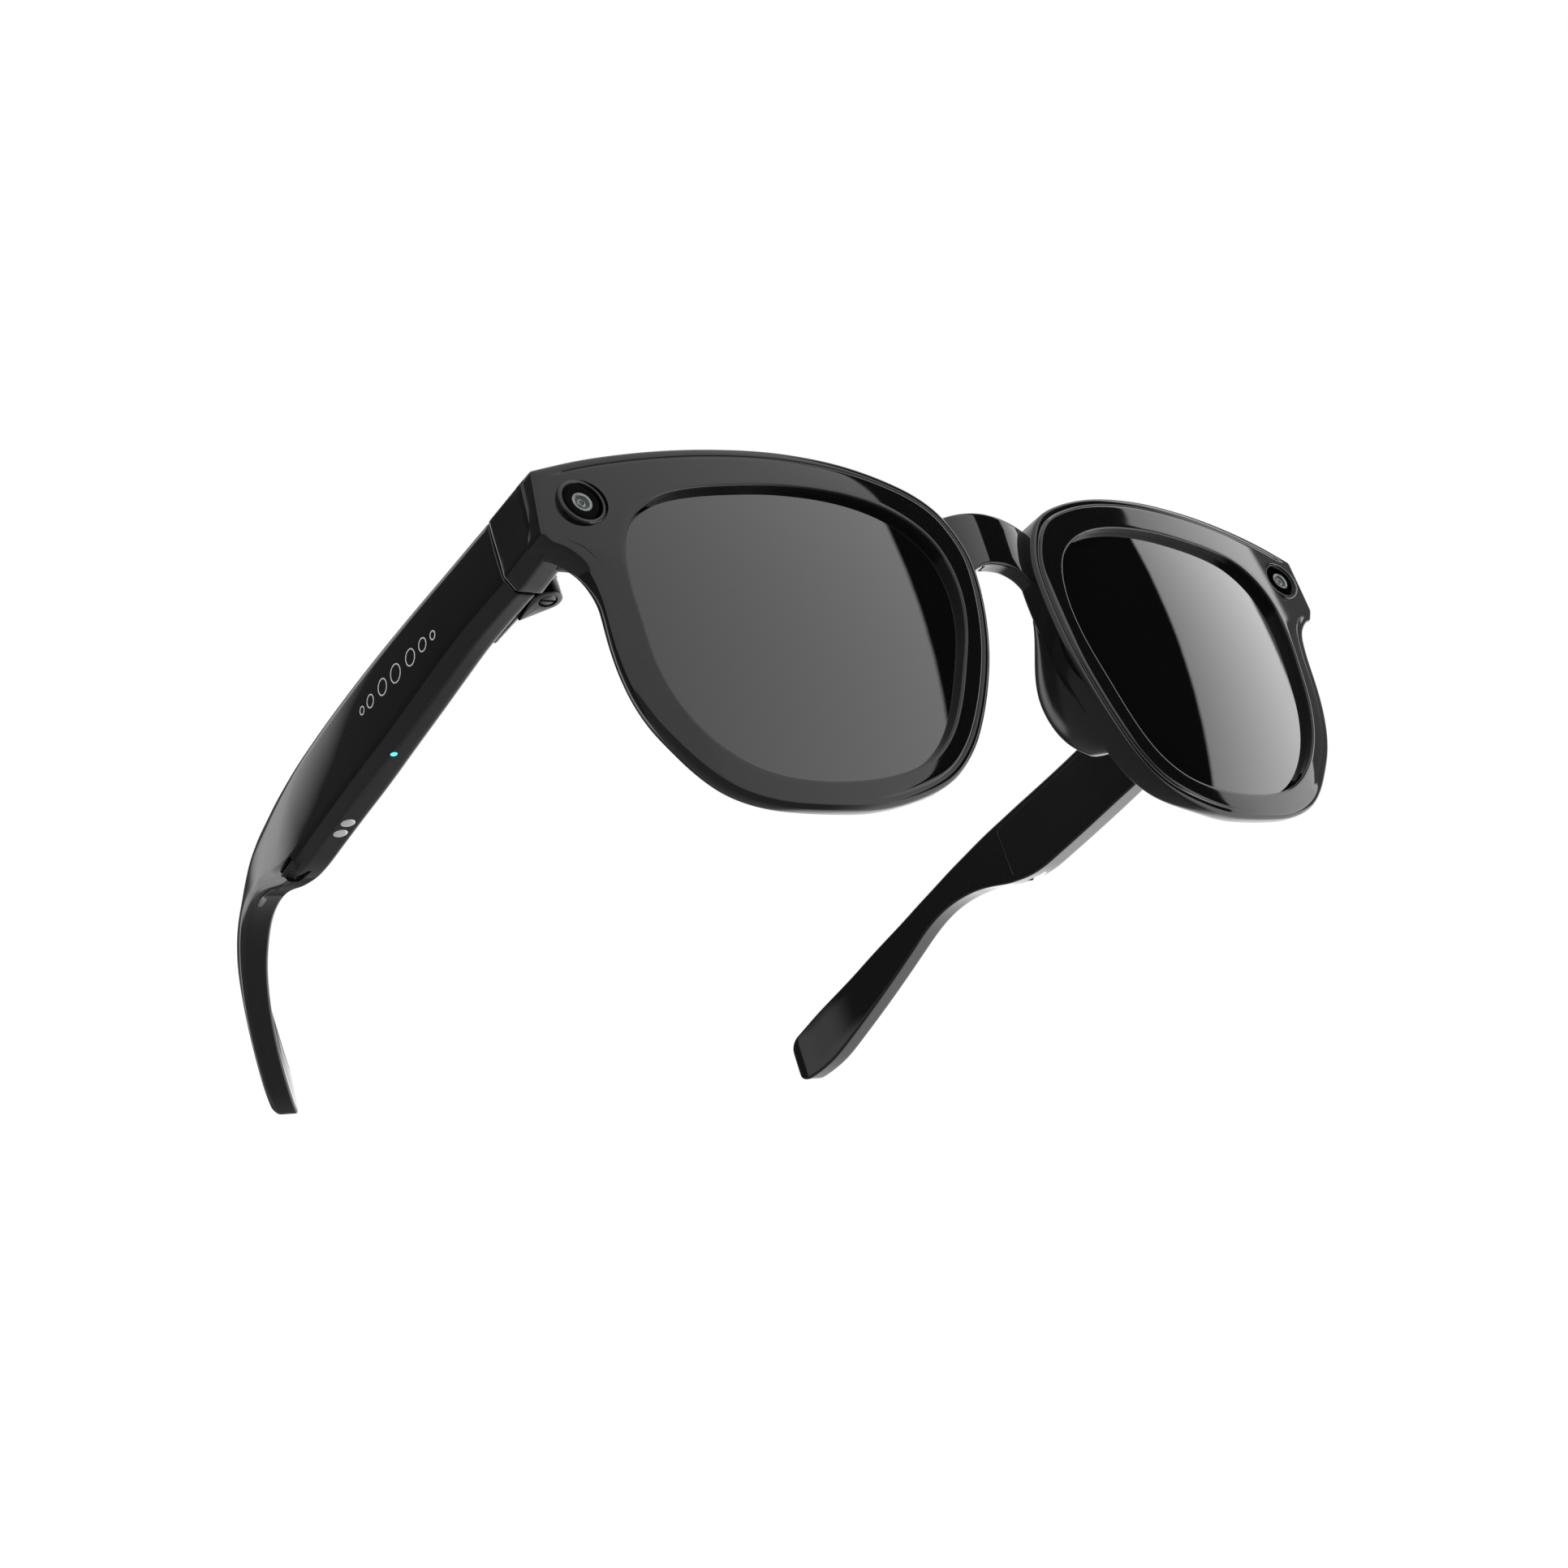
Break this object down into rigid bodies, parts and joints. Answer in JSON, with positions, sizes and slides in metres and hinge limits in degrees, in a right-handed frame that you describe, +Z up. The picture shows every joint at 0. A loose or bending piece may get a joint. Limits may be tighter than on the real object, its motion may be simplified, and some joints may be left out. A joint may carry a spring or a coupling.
{
  "type": "camera glasses",
  "caption": "Glossy black glasses with tinted lenses, round camera windows in the upper outer corners of the front, and thick folding temples that hold electronics.",
  "frame": {"origin": "below the middle of the bounding box, level with the lowest points of the two rims", "axes": "+X to the wearer's left, +Y from the front towards the tips of the temples, +Z up with the temples level"},
  "size_m": [0.1576, 0.155, 0.055],
  "materials": {
    "gloss_black": "polished",
    "inner_black": "satin moulded",
    "tinted_lens": "grey tint, hard coated",
    "pad_black": "smooth moulded",
    "window_black": "polished, dark",
    "bezel_metal": "dark anodised",
    "optics": "coated lens stack in a black barrel",
    "hinge_metal": "black plated",
    "core_metal": "plain drawn",
    "copper_film": "polyimide film over copper",
    "board_green": "solder mask",
    "cell_silver": "foil pouch",
    "grille_metal": "black painted mesh",
    "contact_metal": "plated, bright",
    "light_blue": "clear light pipe, lit blue"
  },
  "bodies": {
    "front_body": {"camera_bezel_left": "bezel_metal", "camera_bezel_right": "bezel_metal", "camera_module_left": "optics", "camera_module_right": "optics", "camera_window_left": "window_black", "camera_window_right": "window_black", "endpiece_cover_left": "inner_black", "endpiece_cover_right": "inner_black", "flex_channel_strip": "inner_black", "front_flex_cable": "copper_film", "front_frame": "gloss_black", "hinge_bracket_left": "hinge_metal", "hinge_bracket_right": "hinge_metal", "lens_left": "tinted_lens", "lens_right": "tinted_lens", "nose_pad_left": "pad_black", "nose_pad_right": "pad_black"},
    "left_temple": {"battery_left": "cell_silver", "circuit_board_left": "board_green", "hinge_leaf_left": "hinge_metal", "hinge_screw_left": "hinge_metal", "speaker_grille_left": "grille_metal", "speaker_left": "grille_metal", "stem_core_left": "core_metal", "temple_cover_left": "inner_black", "temple_shell_left": "gloss_black"},
    "right_temple": {"battery_right": "cell_silver", "charging_contact_front": "contact_metal", "charging_contact_rear": "contact_metal", "circuit_board_right": "board_green", "hinge_leaf_right": "hinge_metal", "hinge_screw_right": "hinge_metal", "speaker_grille_right": "grille_metal", "speaker_right": "grille_metal", "status_light": "light_blue", "stem_core_right": "core_metal", "temple_cover_right": "inner_black", "temple_shell_right": "gloss_black", "touch_sensor": "copper_film"},
    "capture_button_body": {"capture_button": "gloss_black"}
  },
  "joints": [
    {"name": "left_temple_fold", "type": "hinge", "parent": "front_body", "child": "left_temple", "pos_m": [0.0668, -0.05761, 0.04393], "axis": [0, 0, 1], "range_deg": [0, 88]},
    {"name": "right_temple_fold", "type": "hinge", "parent": "front_body", "child": "right_temple", "pos_m": [-0.0668, -0.05761, 0.04393], "axis": [0, 0, -1], "range_deg": [0, 74]},
    {"name": "capture_button_press", "type": "slide", "parent": "right_temple", "child": "capture_button_body", "axis": [0, 0, -1], "range_m": [0, 0.0004], "stiffness_N_per_m": 2500, "springref_m": -0.0002}
  ]
}
